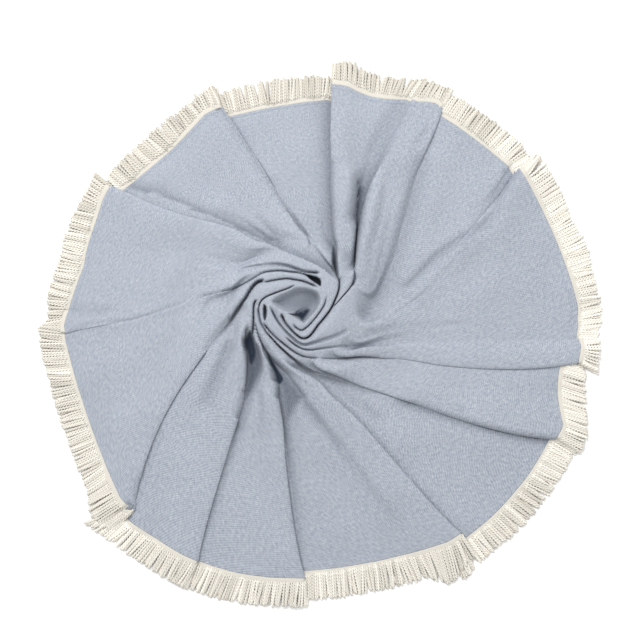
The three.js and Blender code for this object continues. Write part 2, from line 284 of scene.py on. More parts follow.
# Soft troughs and wrinkles in the panels: depth and half width at both ends, the side of the way that they
# lie on, 1 left, -1 right and 0 both, height and half width of the swelling, then x and y along them
SOFT_CREASES = (
    (8, 12, 9, 13, 0, 7, 26, 422, 146, 418.5, 172, 412.5, 200, 402.5, 232, 393, 258, 384, 280, 371, 303,
     356, 320),
    (6, 6, 2, 2, 0, 2, 8, 408, 155, 417, 144, 424, 135, 433, 123),
    (2, 19, 12, 12, -1, 0, 8, 398, 135, 389, 151, 378, 170, 368, 190, 362, 211, 359, 230),
    (9, 8, 10, 10, 0, 3, 20, 371, 166, 379, 151, 387, 137, 395, 124, 403, 110, 410, 96),
    (3, 3, 4, 4, 0, 2, 12, 386, 176, 383, 205, 375, 235, 364, 262),
    (10, 12, 12, 8, -1, 0, 8, 329.5, 84, 330, 110, 330.5, 140, 332, 170, 334, 200, 335.8, 230, 337, 255,
     338.5, 280),
    (38, 16, 10, 1.2, 1, 0, 8, 357, 179, 357, 193, 356.6, 210, 356, 230, 355.4, 247, 355, 266),
    (11, 6, 4.5, 4.5, 0, 6, 16, 506, 207, 484, 225, 466, 237, 448, 249, 432, 262, 416, 279, 400, 293),
    (3, 3, 1.6, 1.6, 0, 1, 8, 480, 236, 440, 276, 420, 296, 400, 310, 382, 321),
    (18, 13, 5.5, 4.5, 0, 5, 13, 527, 152, 513, 172, 505, 185, 498, 196, 490, 209),
    (20, 5, 4, 5, -1, 0, 8, 294, 359, 300, 364, 308, 369.5, 318, 374, 330, 377, 345, 382, 362, 388,
     385, 396),
    (5, 5, 6, 6, 0, 3, 18, 325, 379, 345, 393, 363, 407, 380, 425),
    (16, 5, 5, 5, 0, 6, 14, 281, 380, 289, 388, 297, 397, 311, 413, 326, 432, 341, 451, 357, 473, 378, 499,
     402, 527),
    (5, 5, 4, 4, 0, 4, 12, 259, 385, 261, 410, 262, 440),
    (22, 3, 8, 3.5, 1, 0, 8, 247.5, 352, 247, 367, 245.5, 385, 240.5, 408, 234, 437, 224, 470, 213, 508,
     203, 545),
    (24, 4, 9, 5, 1, 0, 8, 273, 372, 276.5, 390, 281, 411, 285, 438, 289, 470, 295, 510, 301, 555),
    (10, 7, 3, 2.5, 1, 0, 8, 217, 108, 222, 116, 245, 150, 268, 184, 295, 222, 310, 240),
    (6, 14, 2.5, 4.5, 1, 0, 8, 172, 415, 152, 452, 140, 480, 131, 506, 126, 522),
    (17, 22, 6, 6, -1, 0, 8, 390, 396, 430, 408, 470, 420.5, 510, 431, 552, 438, 566, 440),
    (14, 10, 6, 7, 0, 5, 16, 233, 337, 227, 352, 219, 372, 211, 393, 203, 415),
    (4, 4, 3, 3, 0, 3, 10, 217, 294, 208, 304, 203, 314, 203, 324),
    (2.5, 2.5, 2.5, 2.5, 0, 2, 8, 183, 426, 196, 431, 209, 440),
    (15, 15, 5, 6, 1, 0, 14, 118, 183, 132, 188, 165, 197, 188, 207, 208, 215, 230, 224, 250, 234,
     266, 244),
    (4, 4, 4, 4, 0, 2, 12, 254, 213, 262, 223, 272, 233, 282, 243),
    (8, 22, 7, 9, 1, 2, 10, 228, 225, 250, 235, 268, 244, 287, 253, 306, 261, 322, 269, 338, 282),
    (2, 2, 1.6, 1.6, 0, 1.5, 8, 64, 335, 85, 327, 97, 323, 130, 320, 160, 311, 195, 298),
    (6, 6, 5, 5, 0, 3, 13, 62, 308, 72, 309, 95, 312, 122, 311),
    (2, 2, 4, 4, 0, 2, 14, 525, 215, 545, 260, 555, 305),
    (2, 2, 4, 4, 0, 2, 16, 490, 323, 440, 325, 412, 326, 397, 329, 386, 333, 376, 339.5),
    (0, 0, 5, 5, 0, 12, 7, 350, 165, 351, 185, 351, 205, 351.5, 235, 352, 262),
)

# Slow unevenness of the whole sheet
WAVES = 9
WAVE_HEIGHT = 0.5
WAVE_LENGTHS = (70.0, 190.0)

# One fold in section, from the upper panel round its lap to the lower panel
SECTION_COLUMNS = "laps eases height step step_height upper bank".split()
SECTION_ROWS = (
    (-1, -1, 1, -2, 1, 1, 0),
    (0, -0.1, 1, -0.7, 0.97, 1, 0),
    (0, 0.1, 0.55, -0.25, 0.68, 1, 0),
    (-1, -0.1, 0.45, 0.25, 0.32, 0, 0),
    (-1, 0.1, 0, 0.55, 0.12, 0, 0),
    (0, 0.3, 0, 1, 0.03, 0, 0),
    (0, 1.6, 0.4, 2, 0, 0, 1),
)
SECTION_STEPS = (3, 4, 3, 3, 3, 4)

# Photograph: its side in pixels, the millimetres of one pixel, and the pixel of the swirl's middle
PHOTO_SIDE = 640
PHOTO_SCALE = 2.2
PHOTO_MIDDLE = (302, 303)

# Lines: steps between two points of a drawn line, the shortest span and vector, and the way up
LINE_STEPS = 5
SHORTEST_SPAN = 1e-6
SHORTEST_VECTOR = 1e-9
UP = np.array([0.0, 0.0, 1.0])


def named(columns, rows):
    return [dict(zip(columns, row)) for row in rows]


def by_column(columns, rows):
    return {name: np.array(column, float) for name, column in zip(columns, zip(*rows))}


SWIRL = by_column(SWIRL_COLUMNS, SWIRL_ROWS)
SECTION = by_column(SECTION_COLUMNS, SECTION_ROWS)
FOLDS = [fold | look for fold, look in zip(named(FOLD_COLUMNS, FOLD_ROWS), named(LOOK_COLUMNS, LOOK_ROWS))]


def mix(a, b, t):
    return a + (b - a) * t


def smooth(x, low, high):
    t = np.clip((x - low) / (high - low), 0, 1)
    return t * t * (3 - 2 * t)


def eased(a, b, start, end, t):
    """The way from one value to the next, with a slope at both ends."""
    return mix(a, b, t * t * (3 - 2 * t)) + t * (1 - t) ** 2 * start + t * t * (t - 1) * end


def curve_at(xs, ys, x):
    """A smooth curve through points."""
    xs, ys = np.asarray(xs, float), np.asarray(ys, float)
    ends = np.arange(len(xs))
    low, high = np.maximum(ends - 1, 0), np.minimum(ends + 1, len(xs) - 1)
    slopes = (ys[high] - ys[low]) / (xs[high] - xs[low])
    i = np.clip(np.searchsorted(xs, x) - 1, 0, len(xs) - 2)
    span = xs[i + 1] - xs[i]
    t = np.clip((x - xs[i]) / span, 0, 1)
    return eased(ys[i], ys[i + 1], slopes[i] * span, slopes[i + 1] * span, t)


def swirl_at(name, radius):
    return curve_at(SWIRL["radius"], SWIRL[name], radius)


def ring_radius(share, edge_radius):
    """Round inside, the towel's outline at its edge."""
    return share * mix(MEAN_EDGE_RADIUS, edge_radius, share * share)


def edge_of(fold):
    return (fold["before"] + fold["after"]) / 2


def fold_angle(fold, radius):
    inner = fold["at90"] - TURN_INSIDE
    outer = [fold[name] for name in ("at90", "at145", "at220", "at330", "edge")]
    return curve_at((*STATION_RADII, edge_of(fold)), (inner - TURN_INSIDE, inner, *outer), radius)


def look_at(fold, name, inner, radius):
    """A fold's rise, ease or folded share: the swirl's near the middle, its own outside."""
    inside = SWIRL["radius"] <= LOOK_RADIUS
    xs = (*SWIRL["radius"][inside], *STATION_RADII[-2:], edge_of(fold))
    ys = (*inner[inside], *(fold[name + place] for place in LOOK_PLACES))
    return np.maximum(curve_at(xs, ys, radius), 0)[:, None]


def fold_points(fold, shares):
    """The section of one fold on every ring, counter-clockwise: angle, radius and height."""
    before = ring_radius(shares, fold["before"])
    after = ring_radius(shares, fold["after"])
    radius = (before + after) / 2
    folded = np.minimum(look_at(fold, "folded", SWIRL["folded"] * fold["folded220"], radius), 1)
    lap = (fold["lap"] * swirl_at("lap_share", radius))[:, None]
    ease = look_at(fold, "ease", SWIRL["ease"], radius)
    rise = look_at(fold, "rise", SWIRL["rise"] * fold["lift"], radius)
    upper, lower = (before, after) if fold["over"] > 0 else (after, before)
    along = mix(SECTION["step"] * ease, SECTION["laps"] * lap + SECTION["eases"] * ease, folded)
    angle = np.radians(fold_angle(fold, radius))[:, None] + fold["over"] * along / radius[:, None]
    radii = mix(lower[:, None], upper[:, None], SECTION["upper"])
    section = SECTION["height"] * (1 - fold["open"] * SECTION["bank"])
    height = swirl_at("valley", radius)[:, None] + rise * mix(SECTION["step_height"], section, folded)
    points = np.stack((angle, radii, height), axis=2)
    return points if fold["over"] > 0 else points[:, ::-1]


def panel_points(start, end, fold, following, shares):
    """The panel between two folds on every ring: it falls to the floor away from its raised ends."""
    steps = PANEL_DETAIL * (fold["columns"] + 1)
    t = np.arange(1, steps) / steps
    edge_radius = (1 - t) * (1 - 2 * t) * fold["after"] + 4 * t * (1 - t) * fold["next"]
    edge_radius = edge_radius + t * (2 * t - 1) * following["before"]
    radius = ring_radius(shares[:, None], edge_radius)
    angle = mix(start[:, None, 0], end[:, None, 0], t)
    valley = swirl_at("valley", radius)
    distance = np.minimum(t, 1 - t) * (end - start)[:, None, 0] * radius
    fall = 1 - smooth(distance, 0, PANEL_FALL)
    height = valley + (mix(start[:, None, 2], end[:, None, 2], t) - valley) * fall
    return np.stack((angle, radius, height), axis=2)


def polar_sheet(shares):
    """The middle surface as rings of points, with the number of fine steps after each column."""
    sections = [fold_points(fold, shares) for fold in FOLDS]
    columns, steps = [], []
    for i, fold in enumerate(FOLDS):
        following = (i + 1) % len(FOLDS)
        start = sections[i][:, -1]
        end = sections[following][:, 0].copy()
        end[:, 0] += 2 * math.pi * (following == 0)
        panel = panel_points(start, end, fold, FOLDS[following], shares)
        columns += [sections[i], panel]
        steps += [*SECTION_STEPS, *[1] * (panel.shape[1] + 1)]
    return np.concatenate(columns, axis=1), steps


def placed(polar):
    """Points in space, with the rings near the middle drawn towards the hollow."""
    angle, radius, height = (polar[..., i] for i in range(3))
    drift = 1 - smooth(radius, HOLLOW_RADIUS, HOLLOW_REACH)
    x = radius * np.cos(angle) + HOLLOW_OFFSET[0] * drift
    y = radius * np.sin(angle) + HOLLOW_OFFSET[1] * drift
    return np.stack((x, y, height + CLOTH_THICKNESS / 2), axis=2)


def smooth_rings(points, steps):
    """Closed curves through the points of each ring, with a number of steps in each span."""
    before, after, beyond = (np.roll(points, shift, axis=1) for shift in (1, -1, -2))
    steps_on = (points - before, after - points, beyond - after)
    spans = [np.linalg.norm(step, axis=2, keepdims=True) for step in steps_on]
    first, second, third = (np.sqrt(np.maximum(span, SHORTEST_SPAN)) for span in spans)
    start = (points - before) / first - (after - before) / (first + second) + (after - points) / second
    end = (after - points) / second - (beyond - points) / (second + third) + (beyond - after) / third
    fine = []
    for j, count in enumerate(steps):
        t = (np.arange(count) / count)[None, :, None]
        a, b, slope, end_slope, span = (value[:, j, None] for value in (points, after, start, end, second))
        fine.append(eased(a, b, slope * span, end_slope * span, t))
    return np.concatenate(fine, axis=1)


def photo_points(pixels):
    """Pixels of the photograph as millimetres round the swirl's middle."""
    return (np.reshape(pixels, (-1, 2)) - PHOTO_MIDDLE) * (PHOTO_SCALE, -PHOTO_SCALE)


def drawn_line(pixels):
    """A smooth line through given points."""
    points = photo_points(pixels)
    padded = np.concatenate((2 * points[:1] - points[1:2], points, 2 * points[-1:] - points[-2:-1]))
    a, b, c, d = (padded[i : len(padded) - 3 + i, None] for i in range(4))
    t = np.arange(LINE_STEPS)[:, None] / LINE_STEPS
    curve = b + t / 2 * (c - a + t * (2 * a - 5 * b + 4 * c - d + t * (3 * (b - c) + d - a)))
    return np.concatenate((curve.reshape(-1, 2), points[-1:]))


def from_line(line, x, y):
    """Distance of each point from a line, the side it lies on, and the share of the way along."""
    distance = np.full(x.shape, np.inf)
    side, share = np.zeros(x.shape), np.zeros(x.shape)
    for i in range(len(line) - 1):
        (start_x, start_y), (step_x, step_y) = line[i], line[i + 1] - line[i]
        t = np.clip(((x - start_x) * step_x + (y - start_y) * step_y) / (step_x ** 2 + step_y ** 2), 0, 1)
        off_x, off_y = x - start_x - t * step_x, y - start_y - t * step_y
        here = np.hypot(off_x, off_y)
        closer = here < distance
        distance = np.where(closer, here, distance)
        side = np.where(closer, np.sign(step_x * off_y - step_y * off_x), side)
        share = np.where(closer, (i + t) / (len(line) - 1), share)
    return distance, side, share


def encloses(line, x, y):
    """Which points lie inside a closed line."""
    inside = np.zeros(x.shape, bool)
    for (start_x, start_y), (end_x, end_y) in zip(line[:-1], line[1:]):
        if start_y != end_y:
            reach = start_x + (y - start_y) * (end_x - start_x) / (end_y - start_y)
            inside ^= ((start_y > y) != (end_y > y)) & (x < reach)
    return inside


def depth_inside(pixels, x, y):
    """Distance of each point inside a drawn closed line from it, in pixels, and 0 outside."""
    line = drawn_line((*pixels, *pixels[:2]))
    return np.where(encloses(line, x, y), from_line(line, x, y)[0], 0) / PHOTO_SCALE


def near_line(pixels, fade_length, x, y):
    """As from_line for a drawn line, with distance in pixels, and how the line fades towards its ends."""
    line = drawn_line(pixels)
    distance, side, share = from_line(line, x, y)
    length = np.linalg.norm(np.diff(line, axis=0), axis=1).sum()
    end = min(0.5, fade_length * PHOTO_SCALE / length)
    fade = smooth(share, 0, end) * (1 - smooth(share, 1 - end, 1))
    return distance / PHOTO_SCALE, side, share, fade


def core_base(x, y):
    """The plateau of the swirl with the hollow in it, deepest at one end."""
    start, end = photo_points(HOLLOW_SLOPE)
    way = end - start
    along = smooth(((x - start[0]) * way[0] + (y - start[1]) * way[1]) / (way @ way), 0, 1)
    plateau = curve_at(PLATEAU_RADII, PLATEAU_HEIGHTS, np.hypot(x, y))
    inside = smooth(depth_inside(HOLLOW_RIM, x, y), 0, mix(*HOLLOW_WALLS, along))
    return mix(plateau, mix(*HOLLOW_HEIGHTS, along), inside)


def crease_depth(x, y):
    """How deep the creases between the swirl's bands are cut at each point."""
    cut = np.zeros(x.shape)
    inner = 1 - smooth(np.hypot(x, y), *CORE_REACH)
    for depth, depth_end, width, width_end, gentle, *pixels in CORE_CREASES:
        distance, side, share, fade = near_line(pixels, CREASE_FADE, x, y)
        half_width = mix(width, width_end, share)
        bottom = CREASE_BOTTOM_SHARE * half_width
        wall = CREASE_WALL + CREASE_WALL_SHARE * half_width
        groove = 1 - smooth(distance, bottom, bottom + wall)
        shoulder = CREASE_SHOULDER[1] * np.clip(1 - distance / CREASE_SHOULDER[0], 0, 1) ** 2
        slope = GENTLE_SHARE * np.clip(1 - distance / GENTLE_REACH, 0, 1) ** 2 * (side == gentle) * inner
        shape = np.maximum(np.maximum(groove, shoulder), slope)
        cut = np.maximum(cut, mix(depth, depth_end, share) * fade * shape)
    return cut


def pocket_depth(x, y):
    """How deep the pockets are cut at each point, and how much shade is painted into the cloth there."""
    cut, painted_shade = np.zeros(x.shape), np.zeros(x.shape)
    for depth, wall, shade, *pixels in POCKETS:
        inside = smooth(depth_inside(pixels, x, y), 0, wall)
        cut = np.maximum(cut, depth * inside)
        painted_shade = np.maximum(painted_shade, shade * inside)
    return cut, painted_shade


def widened(depth):
    """The deepest value near each point, for an underside with fewer points."""
    steps = np.arange(-UNDER_RINGS, UNDER_RINGS + 1)
    rows = np.clip(np.arange(len(depth)) + steps[:, None], 0, len(depth) - 1)
    deepest = depth[rows].max(axis=0)
    shifts = range(-UNDER_COLUMNS, UNDER_COLUMNS + 1)
    return np.max([np.roll(deepest, shift, axis=1) for shift in shifts], axis=0)


def unevenness(x, y):
    """Soft troughs, wrinkles and slow waves of the panels, and how much shade is painted into the troughs.
    """
    draw = np.random.default_rng(SEED)
    lift, painted_shade = np.zeros(x.shape), np.zeros(x.shape)
    for _ in range(WAVES):
        turn, phase = draw.uniform(0, 2 * math.pi, 2)
        wave = 2 * math.pi / draw.uniform(*WAVE_LENGTHS)
        lift += WAVE_HEIGHT * np.sin(wave * (x * math.cos(turn) + y * math.sin(turn)) + phase)
    for depth, depth_end, width, width_end, on_side, swell, swell_width, *pixels in SOFT_CREASES:
        distance, side, share, fade = near_line(pixels, SOFT_FADE, x, y)
        groove = mix(depth, depth_end, share) * fade * (side * on_side >= 0)
        groove = groove * np.exp(-(distance / mix(width, width_end, share)) ** 2)
        lift += swell * fade * np.exp(-(distance / swell_width) ** 2) - groove
        # Painted shade: each trough darkens the colour by its depth, more beside fold edges
        painted_shade = np.maximum(painted_shade, (EDGE_SHADE if on_side else TROUGH_SHADE) * groove)
    return lift, painted_shade


def unit(vectors):
    return vectors / np.maximum(np.linalg.norm(vectors, axis=-1, keepdims=True), SHORTEST_VECTOR)


def sheet_normals(sheet):
    along = np.roll(sheet, -1, axis=1) - np.roll(sheet, 1, axis=1)
    out = np.gradient(sheet, axis=0)
    return unit(np.cross(out, along))


def fine_shares():
    radii = FIRST_RADIUS + np.cumsum(np.concatenate(([0], CORE_STEPS, MIDDLE_STEPS, OUTER_STEPS)))
    hem = MEAN_EDGE_RADIUS - np.array(HEM_RINGS)
    return np.concatenate((radii[radii < hem[0] - HEM_CLEARANCE], hem)) / MEAN_EDGE_RADIUS


def fine_sheet(shares):
    """The fine middle surface, a smoother one for the underside, and the shade painted into its pockets and
    troughs.
    """
    polar, steps = polar_sheet(shares)
    sheet = smooth_rings(placed(polar), steps)
    radius = shares * MEAN_EDGE_RADIUS
    outside = smooth(radius, *CORE_REACH)
    core = outside < 1
    turn = 2 * math.pi * np.arange(sheet.shape[1]) / sheet.shape[1]
    level = np.argmin(np.abs(outside - 0.5))
    lag = np.angle(np.mean(np.exp(1j * (np.arctan2(sheet[level, :, 1], sheet[level, :, 0]) - turn))))
    share = outside[core, None]
    even = placed(np.stack(np.broadcast_arrays(turn + lag, radius[core, None], share), axis=2))
    sheet[core, :, :2] = mix(even[..., :2], sheet[core, :, :2], share[..., None])
    x, y = sheet[core, :, 0], sheet[core, :, 1]
    sheet[core, :, 2] = mix(core_base(x, y), sheet[core, :, 2], share)
    # Painted shade: how much the cloth's colour is darkened in troughs and pockets, where shade falls
    lift, painted_shade = unevenness(sheet[..., 0], sheet[..., 1])
    sheet[..., 2] += lift * outside[:, None]
    creased = radius < CREASE_LIMIT
    x, y = sheet[creased, :, 0], sheet[creased, :, 1]
    pockets, pocket_painted_shade = pocket_depth(x, y)
    painted_shade[creased] = np.maximum(painted_shade[creased], pocket_painted_shade)
    cut = np.zeros(sheet.shape[:2])
    cut[creased] = np.maximum(crease_depth(x, y), pockets)
    under = sheet.copy()
    lowest = CLOTH_THICKNESS / 2 + LAYER_SHARE * np.maximum(sheet[..., 2], 0)
    sheet[..., 2] = np.maximum(sheet[..., 2] - cut, lowest)
    under[..., 2] = np.maximum(under[..., 2] - widened(cut), lowest - CLOTH_THICKNESS / 2)
    under[..., 2] = np.maximum(under[..., 2], CLOTH_THICKNESS / 2)
    return sheet, under, painted_shade


def linked(name, data):
    made = bpy.data.objects.new(name, data)
    scene.collection.objects.link(made)
    return made


def mesh_object(name, points, faces, material):
    """A smooth mesh object from points in millimetres and arrays of faces of one size each."""
    mesh = bpy.data.meshes.new(name)
    corners = np.concatenate([np.asarray(face, np.int32).ravel() for face in faces])
    sizes = np.concatenate([np.full(len(face), np.asarray(face).shape[1], np.int32) for face in faces])
    mesh.vertices.add(len(points))
    mesh.vertices.foreach_set("co", ((points + POLE) * MM).astype(np.float32).ravel())
    mesh.loops.add(len(corners))
    mesh.loops.foreach_set("vertex_index", corners)
    mesh.polygons.add(len(sizes))
    mesh.polygons.foreach_set("loop_start", np.concatenate(([0], np.cumsum(sizes)[:-1])).astype(np.int32))
    mesh.polygons.foreach_set("use_smooth", np.full(len(sizes), True))
    mesh.update(calc_edges=True)
    mesh.validate()
    mesh.materials.append(material)
    return linked(name, mesh)


def add_values(piece, name, values):
    """Values on a piece's points that its material reads: one number or three."""
    values = np.asarray(values, np.float32)
    kind, field = ("FLOAT", "value") if values.ndim == 1 else ("FLOAT_VECTOR", "vector")
    attribute = piece.data.attributes.new(name, kind, "POINT")
    attribute.data.foreach_set(field, values.ravel())


def grid_quads(rows, columns, start=0, closed_rows=False):
    """Faces of a grid whose columns close on themselves, and whose rows may do so too."""
    last = rows if closed_rows else rows - 1
    k, j = np.meshgrid(np.arange(last), np.arange(columns), indexing="ij")
    following, beside = (k + 1) % rows, (j + 1) % columns
    corners = ((k, j), (following, j), (following, beside), (k, beside))
    quads = np.stack([row * columns + column for row, column in corners], axis=2)
    return quads.reshape(-1, 4) + start


# Materials: sizes in metres, and the two colours that each mixes, as screen values from 0 to 255
WEAVE_PITCH = 0.0049
YARN_PITCH = 0.0009
RIB_PITCH = 0.0024
ROW_PITCH = 0.0032
WEAVE_COLOURS = ((129.5, 138, 153), (196, 199, 202.5))
UPPER_CORD_COLOURS = ((190, 186, 177), (246, 243, 236))
LOWER_CORD_COLOURS = ((196, 190, 180), (251, 246, 238))
TAPE_COLOURS = ((197, 193, 185), (219, 215, 207))
THREAD_COLOURS = ((150, 160, 180), (186, 192, 204))
FLOOR_COLOURS = ((250, 250, 250), (252, 252, 252))

# Noise: its scale and detail
STRAY_NOISE = (70.0, 2.0)
MOTTLE_NOISE = (160.0, 3.0)
BROAD_NOISE = (6.0, 2.0)
PATCH_NOISE = (45.0, 1.0)
CORD_NOISE = (900.0, 3.0)
TAPE_NOISE = (700.0, 3.0)
THREAD_NOISE = (1500.0, 2.0)
FLOOR_NOISE = (40.0, 2.0)

# Strengths: how far a noise or wave moves a value, and where it starts from
STRAY_REACH = 0.005
BROAD_SHADE = (0.1, 0.95)
PATCH_CONTRAST = (2.4, -0.2)
WHITE_SHARE = (0.5, 0.23)
SPECK_STRENGTH = 0.9
CHECK_RELIEF = 0.6
CORD_TONE = 0.6
CORD_FIBRE_TONE = 0.25
TAPE_RIB_TONE = 0.5
TAPE_FIBRE_TONE = 0.4
# Painted shade's strength in red, green and blue, which leaves it a little bluer
SHADE_SHARES = (1.03, 1.0, 0.95)
WEAVE_ROUGHNESS = (-0.06, 0.96)
CORD_ROUGHNESS = (0.1, 0.85)
THREAD_ROUGHNESS = (0.1, 0.8)
FLOOR_ROUGHNESS = 0.9
SPECULAR = 0.15

# Relief: its height and strength
WEAVE_BUMP = (0.0004, 0.5)
CORD_BUMP = (0.0004, 0.5)
TAPE_BUMP = (0.0006, 0.6)
THREAD_BUMP = (0.0002, 0.4)
FLOOR_BUMP = (0.0001, 0.1)


def linear(red, green, blue):
    """A colour given by its screen values from 0 to 255."""
    screen = np.array([red, green, blue]) / 255
    values = np.where(screen <= 0.04045, screen / 12.92, ((screen + 0.055) / 1.055) ** 2.4)
    return (*values.tolist(), 1.0)


class Nodes:
    """A material's node tree, with short calls to add nodes and link them."""

    def __init__(self, name):
        self.material = bpy.data.materials.new(name)
        self.material.use_nodes = True
        self.tree = self.material.node_tree
        self.shader = self.tree.nodes["Principled BSDF"]

    def add(self, kind, inputs=(), **settings):
        node = self.tree.nodes.new(kind)
        for key, value in settings.items():
            setattr(node, key, value)
        self.fill(node, dict(inputs))
        return node

    def fill(self, node, inputs):
        for key, value in inputs.items():
            self.set(node.inputs[key], value)

    def set(self, socket, value):
        if isinstance(value, bpy.types.NodeSocket):
            self.tree.links.new(value, socket)
        else:
            socket.default_value = value

    def math(self, operation, *values):
        return self.add("ShaderNodeMath", enumerate(values), operation=operation).outputs[0]

    def mix(self, factor, a, b, blend="MIX"):
        inputs = {0: factor, 6: a, 7: b}
        return self.add("ShaderNodeMix", inputs, data_type="RGBA", blend_type=blend).outputs[2]

    def shades(self, factor, colours):
        return self.mix(factor, *(linear(*colour) for colour in colours))

    def values(self, name, output="Fac"):
        return self.add("ShaderNodeAttribute", attribute_name=name).outputs[output]

    def flat(self):
        """The cloth's or tape's own flat coordinates, whole and apart."""
        vector = self.values("flat", "Vector")
        parts = self.add("ShaderNodeSeparateXYZ", {"Vector": vector}).outputs
        return vector, parts[0], parts[1]

    def noise(self, vector, scale, detail):
        inputs = {"Vector": vector, "Scale": scale, "Detail": detail}
        return self.add("ShaderNodeTexNoise", inputs).outputs[0]

    def fibres(self, scale, detail):
        return self.noise(self.add("ShaderNodeTexCoord").outputs["Object"], scale, detail)

    def checks(self, across, along, pitch, pitch_along):
        """Two crossing waves, from 0 to 1."""
        one = self.math("SINE", self.math("MULTIPLY", across, 2 * math.pi / pitch))
        two = self.math("SINE", self.math("MULTIPLY", along, 2 * math.pi / pitch_along))
        return self.math("MULTIPLY_ADD", self.math("MULTIPLY", one, two), 0.5, 0.5)

    def scaled(self, value, factor, start=0.0):
        return self.math("MULTIPLY_ADD", value, factor, start)

    def finish(self, colour, roughness, height, bump, sheen=0.0):
        distance, strength = bump
        relief = self.add("ShaderNodeBump", {"Height": height, "Distance": distance, "Strength": strength})
        looks = {"Base Color": colour, "Roughness": roughness, "Normal": relief.outputs[0]}
        self.fill(self.shader, looks | {"Sheen Weight": sheen, "Specular IOR Level": SPECULAR})
        return self.material


def cloth_material():
    """A small diamond weave of blue and white yarns, in the cloth's own flat coordinates, with painted
    crease shade.
    """
    n = Nodes("cloth_weave")
    flat, across, along = n.flat()
    stray = n.scaled(n.noise(flat, *STRAY_NOISE), STRAY_REACH, -STRAY_REACH / 2)
    across = n.math("ADD", across, stray)
    along = n.math("SUBTRACT", along, stray)
    diamond = n.checks(across, along, WEAVE_PITCH, WEAVE_PITCH)
    yarns = n.checks(across, along, YARN_PITCH, YARN_PITCH)
    patches = n.scaled(n.noise(flat, *PATCH_NOISE), *PATCH_CONTRAST)
    checks = n.scaled(n.math("SUBTRACT", diamond, 0.5), patches, 0.5)
    specks = n.scaled(n.math("SUBTRACT", n.noise(flat, *MOTTLE_NOISE), 0.5), SPECK_STRENGTH)
    colour = n.shades(n.math("ADD", n.scaled(checks, *WHITE_SHARE), specks), WEAVE_COLOURS)
    shade = n.scaled(n.noise(flat, *BROAD_NOISE), *BROAD_SHADE)
    # Painted shade in creases and pockets darkens the colour, a little bluer, on top of the broad mottling
    painted_shade = n.values("painted_shade")
    mottle_and_painted_shade = n.add("ShaderNodeCombineColor")
    for socket, share in zip(mottle_and_painted_shade.inputs, SHADE_SHARES):
        n.set(socket, n.math("MULTIPLY", shade, n.scaled(painted_shade, -share, 1.0)))
    colour = n.mix(1.0, colour, mottle_and_painted_shade.outputs[0], "MULTIPLY")
    relief = n.scaled(checks, CHECK_RELIEF, n.scaled(yarns, 1 - CHECK_RELIEF))
    return n.finish(colour, n.scaled(diamond, *WEAVE_ROUGHNESS), relief, WEAVE_BUMP, sheen=0.1)


def cord_material(name, colours):
    """Cream cotton with fine fibres; cords differ a little in tone, which also holds painted light and
    shade.
    """
    n = Nodes(name)
    fibres = n.fibres(*CORD_NOISE)
    tone = n.scaled(n.values("tone"), CORD_TONE, n.scaled(fibres, CORD_FIBRE_TONE))
    colour = n.shades(tone, colours)
    return n.finish(colour, n.scaled(fibres, *CORD_ROUGHNESS), fibres, CORD_BUMP, sheen=0.15)


def heading_material():
    """Cream woven tape with fine ribs across it."""
    n = Nodes("heading_tape")
    _, along, across = n.flat()
    relief = n.checks(along, across, RIB_PITCH, ROW_PITCH)
    fibres = n.fibres(*TAPE_NOISE)
    tone = n.scaled(relief, TAPE_RIB_TONE, n.scaled(fibres, TAPE_FIBRE_TONE))
    colour = n.shades(tone, TAPE_COLOURS)
    return n.finish(colour, n.scaled(fibres, *CORD_ROUGHNESS), relief, TAPE_BUMP, sheen=0.15)


def thread_material():
    """Blue-grey sewing thread."""
    n = Nodes("hem_thread")
    fibres = n.fibres(*THREAD_NOISE)
    colour = n.shades(fibres, THREAD_COLOURS)
    return n.finish(colour, n.scaled(fibres, *THREAD_ROUGHNESS), fibres, THREAD_BUMP, sheen=0.1)


def floor_material():
    n = Nodes("pale_floor")
    grain = n.fibres(*FLOOR_NOISE)
    return n.finish(n.shades(grain, FLOOR_COLOURS), FLOOR_ROUGHNESS, grain, FLOOR_BUMP)


# Cloth
def flat_coordinates(sheet, shares):
    """Where each point was on the flat disc, in metres."""
    around = np.linalg.norm(np.roll(sheet, -1, axis=1) - sheet, axis=2)
    turn = 2 * math.pi * (np.cumsum(around, axis=1) - around) / around.sum(axis=1, keepdims=True)
    radius = (FLAT_DIAMETER / 2 - (1 - shares) * MEAN_EDGE_RADIUS)[:, None] * MM
    return np.stack((radius * np.cos(turn), radius * np.sin(turn), np.zeros(turn.shape)), axis=2)


def hem_thickness(shares):
    """Extra thickness on top where the hem is doubled."""
    from_edge = (1 - shares) * MEAN_EDGE_RADIUS
    start = HEM_WIDTH - HEM_STEP_LENGTH / 2
    return HEM_STEP * (1 - smooth(from_edge, start, start + HEM_STEP_LENGTH))


